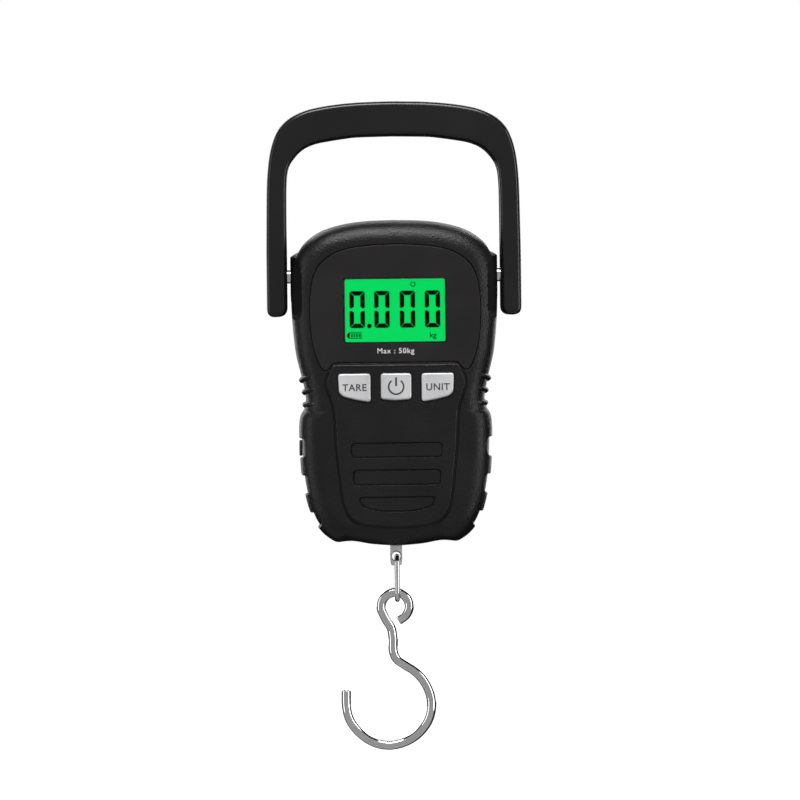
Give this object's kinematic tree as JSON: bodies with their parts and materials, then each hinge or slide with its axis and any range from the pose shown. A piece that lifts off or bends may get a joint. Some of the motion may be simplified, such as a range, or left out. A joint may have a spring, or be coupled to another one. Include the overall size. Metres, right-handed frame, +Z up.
{
  "type": "digital fish scale",
  "caption": "Handheld digital hanging scale with a fold-over handle, lit display, buttons, load cell, hook on a link, battery door and pull-out tape.",
  "frame": {"origin": "middle of the underside of the handle bar, where the fingers or a rail bear", "axes": "+Z up from the hook towards the handle, -Y out of the display, +X to the right seen from the front"},
  "size_m": [0.094, 0.0325, 0.2402],
  "materials": {
    "shell": "fine sparkle texture, black",
    "handle": "satin black",
    "panel": "satin black",
    "window": "clear acrylic",
    "lcd": "back-lit green liquid crystal cell",
    "light_guide": "diffusing light guide",
    "white_plastic": "moulded white",
    "button": "silver paint on moulded plastic",
    "black_plastic": "moulded black",
    "steel": "nickel-plated steel",
    "plate_steel": "stamped steel",
    "cell_metal": "machined",
    "brass": "spring brass",
    "board": "green solder mask",
    "foil": "amber film",
    "battery": "printed sleeve",
    "rubber": "soft",
    "tape": "painted tape"
  },
  "bodies": {
    "housing": {"front_shell": "shell", "rear_shell": "shell", "display_panel": "panel", "lcd_window": "window", "lcd_glass": "lcd", "backlight": "light_guide", "lcd_frame": "white_plastic", "contact_strip": "rubber", "main_board": "board", "board_screw_1": "steel", "board_screw_2": "steel", "board_screw_3": "steel", "controller": "black_plastic", "crystal": "steel", "switch_tare": "black_plastic", "switch_power": "black_plastic", "switch_unit": "black_plastic", "cross_rod": "steel", "load_hanger": "plate_steel", "load_cell": "cell_metal", "hanger_pin": "steel", "bracket_pin": "steel", "strain_gauge_left": "foil", "strain_gauge_right": "foil", "gauge_cable": "rubber", "battery_1": "battery", "battery_2": "battery", "battery_spring_1": "steel", "battery_spring_2": "steel", "contact_left": "brass", "contact_right": "brass", "lead_red": "rubber", "lead_black": "black_plastic", "tape_spring": "steel", "tape_axle": "steel", "hook_bracket": "plate_steel", "shell_screw_1": "steel", "shell_screw_2": "steel", "shell_screw_3": "steel", "shell_screw_4": "steel"},
    "handle": {"handle": "handle"},
    "tare_button": {"button_tare": "button", "plunger_tare": "black_plastic"},
    "power_button": {"button_power": "button", "plunger_power": "black_plastic"},
    "unit_button": {"button_unit": "button", "plunger_unit": "black_plastic"},
    "door": {"battery_door": "shell"},
    "link": {"hook_link": "steel"},
    "hook": {"hook": "steel"},
    "tape_reel": {"tape_drum": "white_plastic", "tape_coil": "tape"},
    "tape": {"tape_blade": "tape", "tape_tab": "black_plastic"}
  },
  "joints": [
    {"name": "handle_fold", "type": "hinge", "parent": "housing", "child": "handle", "pos_m": [0, 0, -0.0525], "axis": [1, 0, 0], "range_deg": [-150, 150]},
    {"name": "tare_press", "type": "slide", "parent": "housing", "child": "tare_button", "axis": [0, 1, 0], "range_m": [0, 0.0005], "stiffness_N_per_m": 1500, "springref_m": -0.0003},
    {"name": "power_press", "type": "slide", "parent": "housing", "child": "power_button", "axis": [0, 1, 0], "range_m": [0, 0.0005], "stiffness_N_per_m": 1500, "springref_m": -0.0003},
    {"name": "unit_press", "type": "slide", "parent": "housing", "child": "unit_button", "axis": [0, 1, 0], "range_m": [0, 0.0005], "stiffness_N_per_m": 1500, "springref_m": -0.0003},
    {"name": "door_hinge", "type": "hinge", "parent": "housing", "child": "door", "pos_m": [0, 0.01435, -0.05965], "axis": [1, 0, 0], "range_deg": [0, 100]},
    {"name": "link_swing", "type": "hinge", "parent": "housing", "child": "link", "pos_m": [0, 0, -0.15925], "axis": [1, 0, 0], "range_deg": [-45, 45]},
    {"name": "hook_swing", "type": "hinge", "parent": "link", "child": "hook", "pos_m": [0, 0, -0.1724], "axis": [0, 1, 0], "range_deg": [-60, 60]},
    {"name": "tape_pull", "type": "slide", "parent": "housing", "child": "tape", "axis": [-1, 0, 0], "range_m": [0, 0.028], "stiffness_N_per_m": 30, "springref_m": -0.04},
    {"name": "reel_turn", "type": "hinge", "parent": "housing", "child": "tape_reel", "pos_m": [0.002, 0.0088, -0.1285], "axis": [0, -1, 0], "range_deg": [0, 136]}
  ],
  "couplings": [
    {"joint": "reel_turn", "follows": "tape_pull", "rad_per_m": 84}
  ]
}
